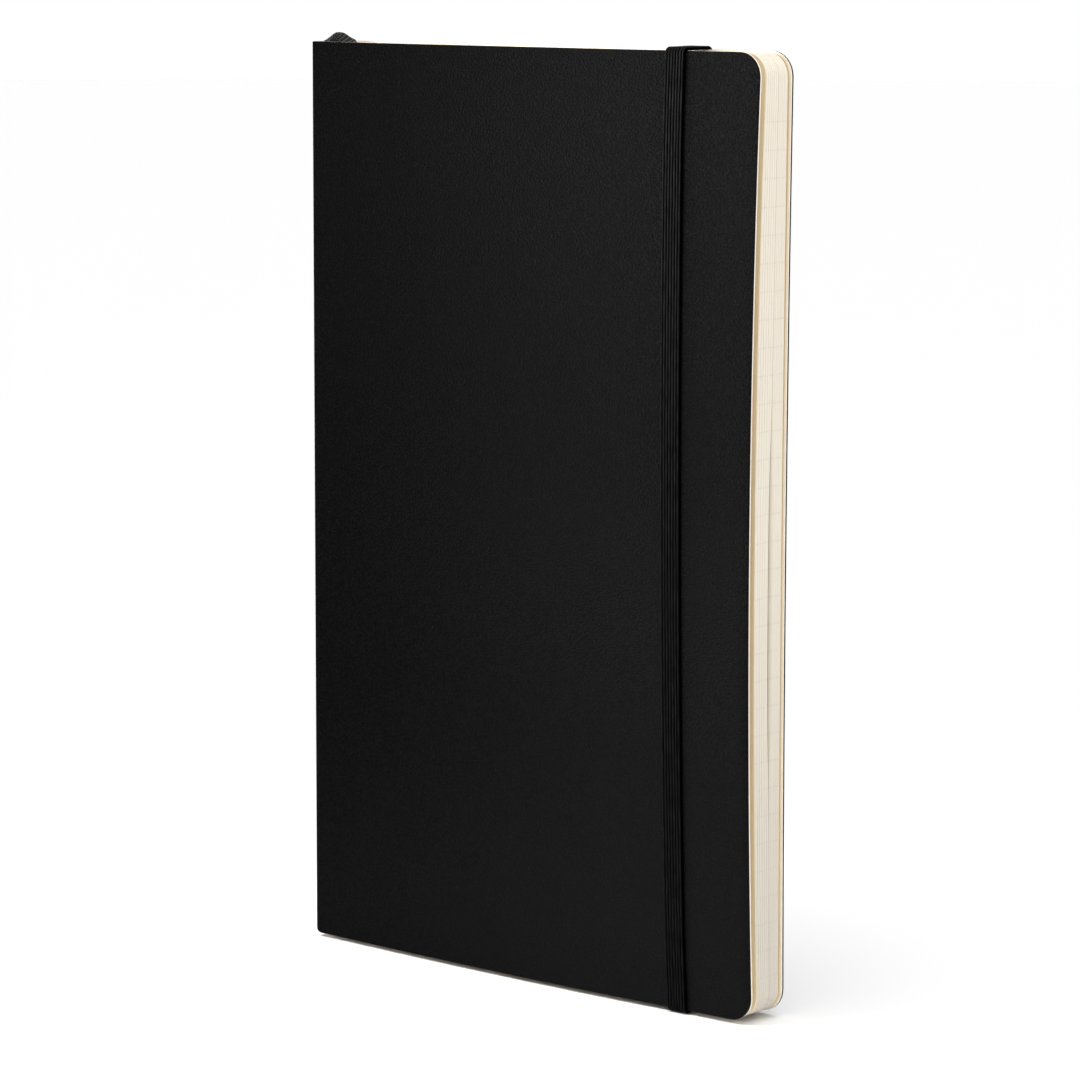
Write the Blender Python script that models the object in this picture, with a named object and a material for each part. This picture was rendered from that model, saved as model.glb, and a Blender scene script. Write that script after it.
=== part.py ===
"""Upright softcover notebook: covers, sewn text block, ribbon page marker, elastic closure and back pocket.

It stands on its bottom edge: Z is up, the spine is at -X, the fore edge at +X and the front cover faces -Y.
"""

import math

import bmesh
import bpy
from mathutils import Vector

MM = 0.001

# Driving sizes, in millimetres.
WIDTH = 130.0
HEIGHT = 210.0
THICKNESS = 12.5
CORNER_RADIUS = 5.5
SPINE_CORNER_RADIUS = 1.0
FIT = 0.05

COVER_SKIN = 0.60
COVER_BEVEL = 0.15
SPINE_SKIN = 0.65
SPINE_LINER = 0.30
MULL = 0.20
THREAD = 0.15
PAGE_INSET = 0.25

FRONT_LINING = 0.40
BACK_LINING = 0.43
FLYLEAF = 0.15
SIGNATURE = 0.70
SIGNATURES = 12
SIGNATURES_BEFORE_RIBBON = 6
SEWING_MARGIN = 22.0

RIBBON_WIDTH = 6.0
RIBBON_THICKNESS = 0.30
RIBBON_TAIL_LENGTH = 196.0
RIBBON_TAIL_LEAN = math.radians(18.0)
RIBBON_END_SLANT = 0.8
RIBBON_LOOP_RISE = 2.1
RIBBON_LOOP_REACH = 8.5
RIBBON_LOOP_NARROWING = 0.55
RIBBON_LOOP_FULLNESS = 0.8
RIBBON_GLUED_LENGTH = 30.0
RIBBON_CLEARANCE = 1.0

ELASTIC_WIDTH = 6.0
ELASTIC_THICKNESS = 0.85
ELASTIC_FROM_FORE_EDGE = 21.0
ELASTIC_CORNER = 0.60
ELASTIC_SLOT_DEPTH = 12.0
ELASTIC_SLOT_CLEARANCE = 0.30
ELASTIC_SPLIT_INSET = 2.0

POCKET_PANEL = 0.20
POCKET_GUSSET = 0.15
POCKET_MARGIN = 4.0
POCKET_MOUTH_INSET = 8.0
GUSSET_WIDTH = 14.0
PANEL_CORNER_RADIUS = 3.0

# Positions that follow from the sizes.
X_SPINE = -WIDTH / 2
X_FORE = WIDTH / 2
Y_FRONT = -THICKNESS / 2
Y_BACK = THICKNESS / 2
Z_FOOT = ELASTIC_THICKNESS + FIT
Z_HEAD = Z_FOOT + HEIGHT
Z_MIDDLE = (Z_FOOT + Z_HEAD) / 2

X_LINER = X_SPINE + SPINE_SKIN + FIT
X_HINGE = X_LINER
X_MULL = X_LINER + SPINE_LINER + FIT
X_THREAD = X_MULL + MULL + FIT
X_FOLD = X_THREAD + THREAD + FIT
Y_FRONT_HINGE = Y_FRONT - FIT
Y_BACK_HINGE = Y_BACK + FIT

Y_FRONT_LINING = Y_FRONT + COVER_SKIN + FIT
Y_FRONT_FLYLEAF = Y_FRONT_LINING + FRONT_LINING + 2 * FIT
Y_BLOCK = Y_FRONT_FLYLEAF + FLYLEAF + FIT
RIBBON_GAP = RIBBON_THICKNESS + FIT
Y_BACK_LINING = Y_BACK - COVER_SKIN - FIT - BACK_LINING
Y_GUSSET = Y_BACK_LINING - FIT - POCKET_GUSSET
Y_PANEL = Y_GUSSET - FIT - POCKET_PANEL

X_ELASTIC = X_FORE - ELASTIC_FROM_FORE_EDGE
X_POCKET_HINGE = X_FORE - POCKET_MARGIN
X_POCKET_MOUTH = X_HINGE + POCKET_MOUTH_INSET
X_RIBBON_PIVOT = X_SPINE + RIBBON_LOOP_REACH
Z_RIBBON_PIVOT = Z_HEAD - RIBBON_WIDTH / 2 - PAGE_INSET

ARC_STEPS = 10
SMALL_ARC_STEPS = 3
RIBBON_LOOP_STEPS = 14


def clear_scene():
    for item in list(bpy.data.objects):
        bpy.data.objects.remove(item, do_unlink=True)


def make_material(name, colour, roughness):
    material = bpy.data.materials.new(name)
    material.use_nodes = True
    shader = material.node_tree.nodes["Principled BSDF"]
    shader.inputs["Base Color"].default_value = (*colour, 1.0)
    shader.inputs["Roughness"].default_value = roughness
    shader.inputs["Metallic"].default_value = 0.0
    return material


def make_materials():
    return {
        "cover": make_material("black_leatherette", (0.012, 0.012, 0.013), 0.55),
        "lining": make_material("cream_card", (0.80, 0.72, 0.60), 0.75),
        "paper": make_material("cream_paper", (0.82, 0.74, 0.60), 0.85),
        "cloth": make_material("mull_cloth", (0.74, 0.71, 0.64), 0.90),
        "thread": make_material("sewing_thread", (0.78, 0.76, 0.70), 0.80),
        "ribbon": make_material("woven_ribbon", (0.030, 0.030, 0.032), 0.70),
        "elastic": make_material("woven_elastic", (0.008, 0.008, 0.009), 0.75),
        "gusset": make_material("gusset_cloth", (0.020, 0.020, 0.022), 0.85),
    }


def corner_arc(cx, cz, radius, start, steps):
    """Points of a quarter circle about (cx, cz), counter-clockwise from the start angle."""
    points = []
    for step in range(steps + 1):
        angle = start + math.pi / 2 * step / steps
        points.append((cx + radius * math.cos(angle), cz + radius * math.sin(angle)))
    return points


def sheet_outline(x0, x1, z0, z1, spine_radius, fore_radius):
    """Counter-clockwise outline in X and Z, with its own corner radius at the spine and at the fore edge."""
    rs = max(spine_radius, 0.0)
    rf = max(fore_radius, 0.0)
    quarter = math.pi / 2
    fore_steps = ARC_STEPS if rf > 0 else 0
    spine_steps = SMALL_ARC_STEPS if rs > 0 else 0

    def corner(cx, cz, radius, start, steps):
        if steps == 0:
            return [(cx, cz)]
        return corner_arc(cx, cz, radius, start, steps)

    points = corner(x1 - rf, z0 + rf, rf, -quarter, fore_steps)
    points += corner(x1 - rf, z1 - rf, rf, 0.0, fore_steps)
    points += corner(x0 + rs, z1 - rs, rs, quarter, spine_steps)
    points += corner(x0 + rs, z0 + rs, rs, math.pi, spine_steps)
    return points


def make_object(name, bm, material, origin=(0.0, 0.0, 0.0)):
    """Turns a bmesh in millimetres into an object in metres with its origin on the given point."""
    bmesh.ops.recalc_face_normals(bm, faces=bm.faces)
    offset = Vector(origin)
    for vertex in bm.verts:
        vertex.co = (vertex.co - offset) * MM
    mesh = bpy.data.meshes.new(name)
    bm.to_mesh(mesh)
    bm.free()
    mesh.materials.append(material)
    item = bpy.data.objects.new(name, mesh)
    item.location = offset * MM
    bpy.context.scene.collection.objects.link(item)
    return item


def stack_outlines(bm, levels):
    """Closed body through several outlines with the same number of points, each given as (y, outline)."""
    rings = []
    for y, outline in levels:
        rings.append([bm.verts.new((x, y, z)) for x, z in outline])
    count = len(rings[0])
    for lower, upper in zip(rings, rings[1:]):
        for i in range(count):
            j = (i + 1) % count
            bm.faces.new((lower[i], lower[j], upper[j], upper[i]))
    bm.faces.new(rings[0])
    bm.faces.new(list(reversed(rings[-1])))


def add_sheet(name, material, y0, thickness, x0, margin, spine_radius, fore_radius, origin):
    """Flat sheet of the notebook's own outline, inset from its head, tail and fore edge by the margin."""
    bm = bmesh.new()
    outline = sheet_outline(x0, X_FORE - margin, Z_FOOT + margin, Z_HEAD - margin, spine_radius, fore_radius)
    stack_outlines(bm, [(y0, outline), (y0 + thickness, outline)])
    return make_object(name, bm, material, origin)


def add_cover_panel(name, material, outer_y, inner_y, origin):
    """Cover panel with the edge of its outer face bevelled."""
    edge_y = outer_y + math.copysign(COVER_BEVEL, inner_y - outer_y)

    def outline(inset):
        return sheet_outline(
            X_HINGE + inset,
            X_FORE - inset,
            Z_FOOT + inset,
            Z_HEAD - inset,
            SPINE_CORNER_RADIUS - inset,
            CORNER_RADIUS - inset,
        )

    bm = bmesh.new()
    stack_outlines(bm, [(outer_y, outline(COVER_BEVEL)), (edge_y, outline(0.0)), (inner_y, outline(0.0))])
    return make_object(name, bm, material, origin)


def add_block(name, material, x_range, y_range, z_range, origin=(0.0, 0.0, 0.0)):
    bm = bmesh.new()
    (x0, x1), (y0, y1), (z0, z1) = x_range, y_range, z_range
    outline = [(x0, z0), (x1, z0), (x1, z1), (x0, z1)]
    stack_outlines(bm, [(y0, outline), (y1, outline)])
    return make_object(name, bm, material, origin)


def cut(target, name, x_range, y_range, z_range):
    """Takes a box out of the target with an exact Boolean and leaves no cutter behind."""
    cutter = add_block(name, target.data.materials[0], x_range, y_range, z_range)
    modifier = target.modifiers.new(name, "BOOLEAN")
    modifier.operation = "DIFFERENCE"
    modifier.solver = "EXACT"
    modifier.object = cutter
    bpy.context.view_layer.update()
    depsgraph = bpy.context.evaluated_depsgraph_get()
    result = bpy.data.meshes.new_from_object(target.evaluated_get(depsgraph))
    target.modifiers.clear()
    target.data = result
    bpy.data.objects.remove(cutter, do_unlink=True)


def mitred_frames(points, plane_normal):
    """Each point of a path in one plane, with the in-plane vector that keeps a strip's thickness."""
    frames = []
    for i, point in enumerate(points):
        before = (point - points[i - 1]).normalized() if i > 0 else None
        after = (points[i + 1] - point).normalized() if i + 1 < len(points) else None
        before = before or after
        after = after or before
        side_before = plane_normal.cross(before)
        side_after = plane_normal.cross(after)
        side = (side_before + side_after).normalized()
        frames.append((point, side / side.dot(side_before)))
    return frames


def sweep_strip(bm, stations):
    """Closed strip through stations given as (centre, half width vector, half thickness vector)."""
    rings = []
    for centre, across, up in stations:
        corners = (centre - across - up, centre + across - up, centre + across + up, centre - across + up)
        rings.append([bm.verts.new(corner) for corner in corners])
    for lower, upper in zip(rings, rings[1:]):
        for i in range(4):
            j = (i + 1) % 4
            bm.faces.new((lower[i], lower[j], upper[j], upper[i]))
    bm.faces.new(rings[0])
    bm.faces.new(list(reversed(rings[-1])))


def add_planar_strip(name, material, points, plane_normal, width, thickness, origin=(0.0, 0.0, 0.0)):
    """Strip along a path in one plane, with its width along the plane's normal."""
    half_width = plane_normal * (width / 2)
    stations = []
    for point, side in mitred_frames(points, plane_normal):
        stations.append((point, half_width, side * (thickness / 2)))
    bm = bmesh.new()
    sweep_strip(bm, stations)
    return make_object(name, bm, material, origin)


def front_hinge():
    return (X_HINGE, Y_FRONT_HINGE, Z_MIDDLE)


def back_hinge():
    return (X_HINGE, Y_BACK_HINGE, Z_MIDDLE)


def build_covers(materials):
    add_cover_panel("front_cover", materials["cover"], Y_FRONT, Y_FRONT + COVER_SKIN, front_hinge())
    back = add_cover_panel("back_cover", materials["cover"], Y_BACK, Y_BACK - COVER_SKIN, (0.0, 0.0, 0.0))
    for name, z in elastic_slots():
        half_x = ELASTIC_WIDTH / 2 + ELASTIC_SLOT_CLEARANCE
        half_z = ELASTIC_THICKNESS / 2 + ELASTIC_SLOT_CLEARANCE
        cut(
            back,
            name,
            (X_ELASTIC - half_x, X_ELASTIC + half_x),
            (Y_BACK - 2 * COVER_SKIN, Y_BACK + COVER_SKIN),
            (z - half_z, z + half_z),
        )
    add_sheet(
        "front_cover_lining",
        materials["lining"],
        Y_FRONT_LINING,
        FRONT_LINING,
        X_FOLD,
        PAGE_INSET,
        0.0,
        CORNER_RADIUS - PAGE_INSET,
        front_hinge(),
    )
    add_sheet(
        "back_cover_lining",
        materials["lining"],
        Y_BACK_LINING,
        BACK_LINING,
        X_FOLD,
        PAGE_INSET,
        0.0,
        CORNER_RADIUS - PAGE_INSET,
        back_hinge(),
    )


def build_spine(materials):
    add_block(
        "spine_cover",
        materials["cover"],
        (X_SPINE, X_SPINE + SPINE_SKIN),
        (Y_FRONT, Y_BACK),
        (Z_FOOT, Z_HEAD),
    )
    block_back = Y_PANEL - FIT - FLYLEAF
    liner_top = Z_HEAD - RIBBON_GLUED_LENGTH - RIBBON_CLEARANCE
    add_block(
        "spine_liner",
        materials["lining"],
        (X_LINER, X_LINER + SPINE_LINER),
        (Y_BLOCK, block_back),
        (Z_FOOT + PAGE_INSET, liner_top),
    )
    add_block(
        "spine_mull",
        materials["cloth"],
        (X_MULL, X_MULL + MULL),
        (Y_BLOCK, block_back),
        (Z_FOOT + PAGE_INSET, Z_HEAD - PAGE_INSET),
    )


def signature_front(number):
    """Front face of a signature, counted from one; the later half sits behind the ribbon."""
    y = Y_BLOCK + (number - 1) * (SIGNATURE + FIT)
    if number > SIGNATURES_BEFORE_RIBBON:
        y += RIBBON_GAP
    return y


def build_text_block(materials):
    radius = CORNER_RADIUS - PAGE_INSET
    paper = materials["paper"]
    hinge = front_hinge()
    add_sheet("front_flyleaf", paper, Y_FRONT_FLYLEAF, FLYLEAF, X_FOLD, PAGE_INSET, 0.0, radius, hinge)
    for number in range(1, SIGNATURES + 1):
        y = signature_front(number)
        add_sheet(f"signature_{number:02d}", paper, y, SIGNATURE, X_FOLD, PAGE_INSET, 0.0, radius, hinge)
    y = Y_PANEL - FIT - FLYLEAF
    add_sheet("back_flyleaf", paper, y, FLYLEAF, X_FOLD, PAGE_INSET, 0.0, radius, back_hinge())


def build_sewing_thread(materials):
    """One thread up and down the folds, from the first signature to the last."""
    ends = (Z_FOOT + SEWING_MARGIN, Z_HEAD - SEWING_MARGIN)
    x = X_THREAD + THREAD / 2
    points = []
    for number in range(1, SIGNATURES + 1):
        y = signature_front(number) + SIGNATURE / 2
        first, second = ends if number % 2 else reversed(ends)
        points += [Vector((x, y, first)), Vector((x, y, second))]
    add_planar_strip("sewing_thread", materials["thread"], points, Vector((1.0, 0.0, 0.0)), THREAD, THREAD)


def ribbon_y():
    """Middle of the slit between the two signatures that hold the ribbon."""
    return signature_front(SIGNATURES_BEFORE_RIBBON + 1) - FIT - RIBBON_THICKNESS / 2


def build_ribbon_anchor(materials):
    """Glued end inside the spine, then a loop over the head that twists into the plane of the pages."""
    x_glued = X_LINER + SPINE_LINER / 2
    x_end = X_RIBBON_PIVOT
    base_z = Z_HEAD + FIT
    half_width = RIBBON_WIDTH / 2
    half_thickness = RIBBON_THICKNESS / 2
    stations = []
    glued_up = Vector((half_thickness, 0.0, 0.0))
    glued_across = Vector((0.0, half_width, 0.0))
    for z in (Z_HEAD - RIBBON_GLUED_LENGTH, Z_HEAD):
        stations.append((Vector((x_glued, ribbon_y(), z)), glued_across, glued_up))
    for step in range(1, RIBBON_LOOP_STEPS + 1):
        share = step / RIBBON_LOOP_STEPS
        angle = math.pi * share
        x = x_glued + (x_end - x_glued) * (1.0 - math.cos(angle)) / 2
        rise = (RIBBON_LOOP_RISE - RIBBON_THICKNESS) * math.sin(angle) ** RIBBON_LOOP_FULLNESS
        z = base_z + half_thickness + rise
        tangent = Vector((math.sin(angle), 0.0, math.cos(angle)))
        flat_up = Vector((tangent.z, 0.0, -tangent.x))
        narrow = 1.0 - RIBBON_LOOP_NARROWING * share
        stations.append((Vector((x, ribbon_y(), z)), glued_across * narrow, flat_up * half_thickness))
    bm = bmesh.new()
    sweep_strip(bm, stations)
    make_object("ribbon_anchor", bm, materials["ribbon"])


def build_ribbon_tail(materials):
    """Straight strip between the pages, leaning towards the fore edge and cut off at a slant."""
    pivot = Vector((X_RIBBON_PIVOT, ribbon_y(), Z_RIBBON_PIVOT))
    along = Vector((math.sin(RIBBON_TAIL_LEAN), 0.0, -math.cos(RIBBON_TAIL_LEAN)))
    across = Vector((along.z, 0.0, -along.x)) * (RIBBON_WIDTH / 2)
    up = Vector((0.0, RIBBON_THICKNESS / 2, 0.0))
    end = pivot + along * RIBBON_TAIL_LENGTH
    half_slant = along * (RIBBON_WIDTH * RIBBON_END_SLANT / 4)
    bm = bmesh.new()
    sweep_strip(bm, [(pivot, across, up), (end - half_slant, across - half_slant, up)])
    make_object("ribbon_tail", bm, materials["ribbon"], pivot)


def rounded_path(corners, radius):
    """Path in the plane X = constant whose inner corners are replaced by short arcs."""
    points = [corners[0]]
    for before, corner, after in zip(corners, corners[1:], corners[2:]):
        start = corner + (before - corner).normalized() * radius
        finish = corner + (after - corner).normalized() * radius
        for step in range(SMALL_ARC_STEPS + 1):
            t = step / SMALL_ARC_STEPS
            points.append(start * (1 - t) ** 2 + corner * (2 * t * (1 - t)) + finish * t**2)
    points.append(corners[-1])
    return points


def elastic_slots():
    return (
        ("elastic_slot_top", Z_HEAD - ELASTIC_SLOT_DEPTH),
        ("elastic_slot_bottom", Z_FOOT + ELASTIC_SLOT_DEPTH),
    )


def build_elastic(materials):
    """Loop round the front, and the two ends that stay in the back cover."""
    half = ELASTIC_THICKNESS / 2
    y_run = Y_FRONT - FIT - half
    y_tab = Y_BACK + FIT + half
    y_split = Y_BACK - ELASTIC_SPLIT_INSET
    y_inside = Y_BACK - COVER_SKIN
    x = X_ELASTIC
    across_x = Vector((1.0, 0.0, 0.0))
    material = materials["elastic"]
    z_low = Z_FOOT - FIT - half
    z_high = Z_HEAD + FIT + half
    loop = [
        Vector((x, y_split - FIT, z_high)),
        Vector((x, y_run, z_high)),
        Vector((x, y_run, z_low)),
        Vector((x, y_split - FIT, z_low)),
    ]
    origin = (x, 0.0, Z_MIDDLE)
    path = rounded_path(loop, ELASTIC_CORNER)
    add_planar_strip("elastic_band", material, path, across_x, ELASTIC_WIDTH, ELASTIC_THICKNESS, origin)
    (_, slot_top), (_, slot_bottom) = elastic_slots()
    for name, z_edge, z_slot in (
        ("elastic_end_top", z_high, slot_top),
        ("elastic_end_bottom", z_low, slot_bottom),
    ):
        tab = [
            Vector((x, y_split, z_edge)),
            Vector((x, y_tab, z_edge)),
            Vector((x, y_tab, z_slot)),
            Vector((x, y_inside, z_slot)),
        ]
        path = rounded_path(tab, ELASTIC_CORNER)
        add_planar_strip(name, material, path, across_x, ELASTIC_WIDTH, ELASTIC_THICKNESS, back_hinge())


def build_pocket(materials):
    """Flat panel hinged near the fore edge, over two folded gussets at its head and tail."""
    z0 = Z_FOOT + POCKET_MARGIN
    z1 = Z_HEAD - POCKET_MARGIN
    bm = bmesh.new()
    outline = sheet_outline(X_POCKET_MOUTH, X_POCKET_HINGE, z0, z1, SPINE_CORNER_RADIUS, PANEL_CORNER_RADIUS)
    stack_outlines(bm, [(Y_PANEL, outline), (Y_PANEL + POCKET_PANEL, outline)])
    origin = (X_POCKET_HINGE, Y_PANEL + POCKET_PANEL, Z_MIDDLE)
    make_object("pocket_panel", bm, materials["lining"], origin)
    x_range = (X_POCKET_MOUTH + POCKET_MARGIN, X_POCKET_HINGE - PANEL_CORNER_RADIUS)
    y_range = (Y_GUSSET, Y_GUSSET + POCKET_GUSSET)
    for name, z_range in (
        ("pocket_gusset_top", (z1 - GUSSET_WIDTH, z1 - FIT)),
        ("pocket_gusset_bottom", (z0 + FIT, z0 + GUSSET_WIDTH)),
    ):
        add_block(name, materials["gusset"], x_range, y_range, z_range, back_hinge())


def main():
    clear_scene()
    materials = make_materials()
    build_covers(materials)
    build_spine(materials)
    build_text_block(materials)
    build_sewing_thread(materials)
    build_ribbon_anchor(materials)
    build_ribbon_tail(materials)
    build_elastic(materials)
    build_pocket(materials)


main()
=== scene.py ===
"""Looks of an upright softcover notebook with an elastic closure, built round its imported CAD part."""

import math

import bpy
import numpy as np
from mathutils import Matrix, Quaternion, Vector


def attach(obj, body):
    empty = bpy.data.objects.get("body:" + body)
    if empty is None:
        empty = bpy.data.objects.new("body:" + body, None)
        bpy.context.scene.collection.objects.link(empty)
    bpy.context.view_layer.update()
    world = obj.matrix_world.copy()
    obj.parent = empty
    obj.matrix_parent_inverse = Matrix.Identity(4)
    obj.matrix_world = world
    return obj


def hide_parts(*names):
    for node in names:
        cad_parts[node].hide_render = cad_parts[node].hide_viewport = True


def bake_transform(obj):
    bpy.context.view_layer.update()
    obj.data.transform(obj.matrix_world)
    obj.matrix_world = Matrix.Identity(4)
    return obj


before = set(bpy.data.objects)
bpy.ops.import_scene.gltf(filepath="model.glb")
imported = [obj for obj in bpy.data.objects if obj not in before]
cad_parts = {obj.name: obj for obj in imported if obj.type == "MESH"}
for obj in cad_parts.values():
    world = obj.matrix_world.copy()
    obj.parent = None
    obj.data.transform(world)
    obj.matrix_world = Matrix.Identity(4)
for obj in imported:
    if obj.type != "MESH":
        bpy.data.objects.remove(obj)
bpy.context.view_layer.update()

MM = 0.001
SEED = 7

# The CAD layout, in millimetres: sheets are flat here, and bow() gives them the real notebook's curves.
X_SPINE = -65.0
X_FORE = 65.0
WIDTH = X_FORE - X_SPINE
Z_FOOT = 0.9
HEIGHT = 210.0
Z_HEAD = Z_FOOT + HEIGHT
CORNER_RADIUS = 5.5
Y_FRONT = -6.25
Y_BACK = 6.25
COVER = 1.05
SKIN = 0.55
Y_FRONT_LEAF = -5.10
Y_BLOCK_FRONT = -4.90
Y_PARTING = -0.25
Y_BLOCK_BACK = 4.40
Y_BACK_LEAF = 4.60
Y_POCKET = 4.64
FLYLEAF = 0.15
FLYLEAF_ROOM = 0.20
PASTEDOWN = 0.15
PASTEDOWN_INSET = 0.35
POCKET_ROOM = 0.40
X_FOLD = -63.6
PAGE_INSET = 0.25

SIGNATURES = 12
SIGNATURE = 0.70
SIGNATURE_PITCH = 0.75
LEAVES = 8
RIBBON_GAP = 0.35
SIGNATURES_BEFORE_RIBBON = 6
PARTING_HEIGHT = Z_FOOT + 92.0
PARTING_LENGTH = 36.0
PARTING_EXTRA = 0.10
PARTING_DEPTH = 0.45
PARTING_SPREAD = 3.0
PARTING_SHIFT = 0.09

# How the soft covers bow, and how far the pages stand off them.
CORNER_SQUEEZE = 0.25
FRONT_BOW = 2.7
BACK_BOW = 0.85
FRONT_CROWN = 1.6
BACK_CROWN = 0.3
BOW_POWER = 0.8
FRONT_GAP_AT_SPINE = 0.15
FRONT_GAP_AT_FORE_EDGE = 1.75
BACK_GAP_AT_SPINE = 0.05
BACK_GAP_AT_FORE_EDGE = 0.40
BACK_GAP_MIDDLE_LOSS = 0.30
ELASTIC_DENT = 0.25
ELASTIC_PINCH = 1.6
ELASTIC_FRONT_PINCH = 0.3
ELASTIC_PINCH_WIDTH = 9.0
ELASTIC_PINCH_HEIGHT = 11.0

ELASTIC_DENT_WIDTH = 7.0

SPINE_TURN = 0.9
SPINE_FOOT_RADIUS = 1.9
SPINE_FOOT_REACH = 8.0
HINGE_END = -57.0
LEAF_BEND_END = -52.0

# How finely the sheets are divided.
CORNER_ROWS = 8
HINGE_COLUMNS = 21
SKIN_GRID = (44, 96)
LINING_GRID = (32, 60)
SINGLE_SHEET_GRID = (24, 40)
LEAF_GRID = (12, 22)
LEAF_FILL = 0.95
LEAF_UNEVENNESS = 0.007

ELASTIC_X = 44.0
ELASTIC_SLANT = 2.3
ELASTIC_BACK_SHIFT = 2.0
ELASTIC_WIDTH = 5.4
ELASTIC_THICKNESS = 0.75
ELASTIC_RIBS = 7
ELASTIC_RIB_DEPTH = 0.26
ELASTIC_SLOT = 12.0
ELASTIC_TURN_RADIUS = 0.65
ELASTIC_CLEARANCE = 0.04
ELASTIC_SUNK_END = 0.7

RIBBON_WIDTH = 6.0
RIBBON_THICKNESS = 0.26
RIBBON_RISE = 2.35
RIBBON_HUMP_PEAK = X_SPINE + 3.5
RIBBON_HUMP_SPREAD = 2.3
RIBBON_HUMP_ROUND = 0.85
RIBBON_HUMP_END = X_SPINE + 6.6
RIBBON_Y = -0.20
RIBBON_PIVOT = (-56.5, Z_HEAD - 3.25)
RIBBON_LEAN = math.radians(18.0)
RIBBON_LENGTH = 196.0
RIBBON_COLUMNS = 11
RIBBON_MIDDLE = RIBBON_COLUMNS // 2
RIBBON_STATIONS = 60
RIBBON_START_X = X_SPINE + 0.85
RIBBON_GLUED_LENGTH = 25.0
RIBBON_SINK = 2.4
RIBBON_PUCKER = 0.06

POCKET_MARGIN = 4.0
POCKET_MOUTH_INSET = 8.7
POCKET_SHEET = (0.02, 0.20)
GUSSET_SHEET = (0.26, 0.46)
GUSSET_MARGIN = 0.3
GUSSET_HEIGHT = 13.5

RULE_PITCH = 6.0
RULE_TOP = Z_FOOT + 196.4
RULE_COUNT = 32

# The camera, from the notebook's own proportions as seen.
CAMERA_AZIMUTH = math.radians(40.28)
CAMERA_ELEVATION = math.radians(8.21)
CAMERA_DISTANCE = 942.5
CAMERA_RIGHT = -0.40
CAMERA_ROLL = math.radians(0.15)
CAMERA_UP = -5.46
CAMERA_LENS = 139.6
CAMERA_SENSOR = 36.0

# Brightness of the white world, as light on the notebook and as the camera sees it.
SURROUND = 0.50
BACKDROP = 1.0


# ---------------------------------------------------------------- shape of the soft notebook


def share_across(x):
    return np.clip((x - X_SPINE) / WIDTH, 0.0, 1.0)


def share_up(z):
    return np.clip((z - Z_FOOT) / HEIGHT, 0.0, 1.0)


def bow(points):
    """Moves flat layout points to where the bowed covers and the fanned pages put them."""
    x, y, z = points[:, 0], points[:, 1], points[:, 2]
    across = share_across(x)
    along = np.sin(math.pi * share_up(z)) ** BOW_POWER
    crown = np.sin(math.pi * across)
    lift = along * across**1.5
    dent = ELASTIC_DENT * np.exp(-(((x - ELASTIC_X) / ELASTIC_DENT_WIDTH) ** 2)) * along
    near_ends = np.exp(-(((z - Z_FOOT) / ELASTIC_PINCH_HEIGHT) ** 2))
    near_ends = near_ends + np.exp(-(((Z_HEAD - z) / ELASTIC_PINCH_HEIGHT) ** 2))
    pinch = np.exp(-(((x - ELASTIC_X) / ELASTIC_PINCH_WIDTH) ** 2)) * near_ends
    front = Y_FRONT + CORNER_SQUEEZE - FRONT_CROWN * crown - FRONT_BOW * lift
    front = front + dent + ELASTIC_FRONT_PINCH * pinch
    back = Y_BACK - CORNER_SQUEEZE + BACK_CROWN * crown - BACK_BOW * lift - ELASTIC_PINCH * pinch
    front_gap = FRONT_GAP_AT_SPINE + (FRONT_GAP_AT_FORE_EDGE - FRONT_GAP_AT_SPINE) * across
    back_widening = BACK_GAP_AT_FORE_EDGE - BACK_GAP_AT_SPINE - BACK_GAP_MIDDLE_LOSS * along
    back_gap = BACK_GAP_AT_SPINE + back_widening * across
    block_front = front + COVER + front_gap + FLYLEAF_ROOM
    block_back = back - COVER - POCKET_ROOM - back_gap - FLYLEAF_ROOM
    parting_share = (Y_PARTING - Y_BLOCK_FRONT) / (Y_BLOCK_BACK - Y_BLOCK_FRONT) + PARTING_SHIFT * across**2
    levels = (
        (Y_FRONT, front),
        (Y_FRONT + COVER, front + COVER),
        (Y_FRONT_LEAF, front + COVER + front_gap),
        (Y_BLOCK_FRONT, block_front),
        (Y_PARTING, block_front * (1 - parting_share) + block_back * parting_share),
        (Y_BLOCK_BACK, block_back),
        (Y_BACK_LEAF, back - COVER - POCKET_ROOM - back_gap),
        (Y_POCKET, back - COVER - POCKET_ROOM),
        (Y_BACK - COVER, back - COVER),
        (Y_BACK, back),
    )
    moved = np.where(y < Y_FRONT, front + (y - Y_FRONT), back + (y - Y_BACK))
    for (low, bowed_low), (high, bowed_high) in zip(levels, levels[1:]):
        inside = (y >= low) & (y <= high)
        t = (y - low) / (high - low)
        moved = np.where(inside, bowed_low * (1 - t) + bowed_high * t, moved)
    return np.column_stack([x, moved, z + spine_foot_wear(x, z)])


def spine_foot_wear(x, z):
    """How far the rubbed, rounded foot of the spine lifts the sheets there."""
    into = np.clip(SPINE_FOOT_RADIUS - (x - X_SPINE), 0.0, SPINE_FOOT_RADIUS)
    lift = SPINE_FOOT_RADIUS - np.sqrt(SPINE_FOOT_RADIUS**2 - into**2)
    return lift * np.clip(1.0 - (z - Z_FOOT) / SPINE_FOOT_REACH, 0.0, 1.0)


def smooth(value, low, high):
    share = np.clip((value - low) / (high - low), 0.0, 1.0)
    return share * share * (3.0 - 2.0 * share)


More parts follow.
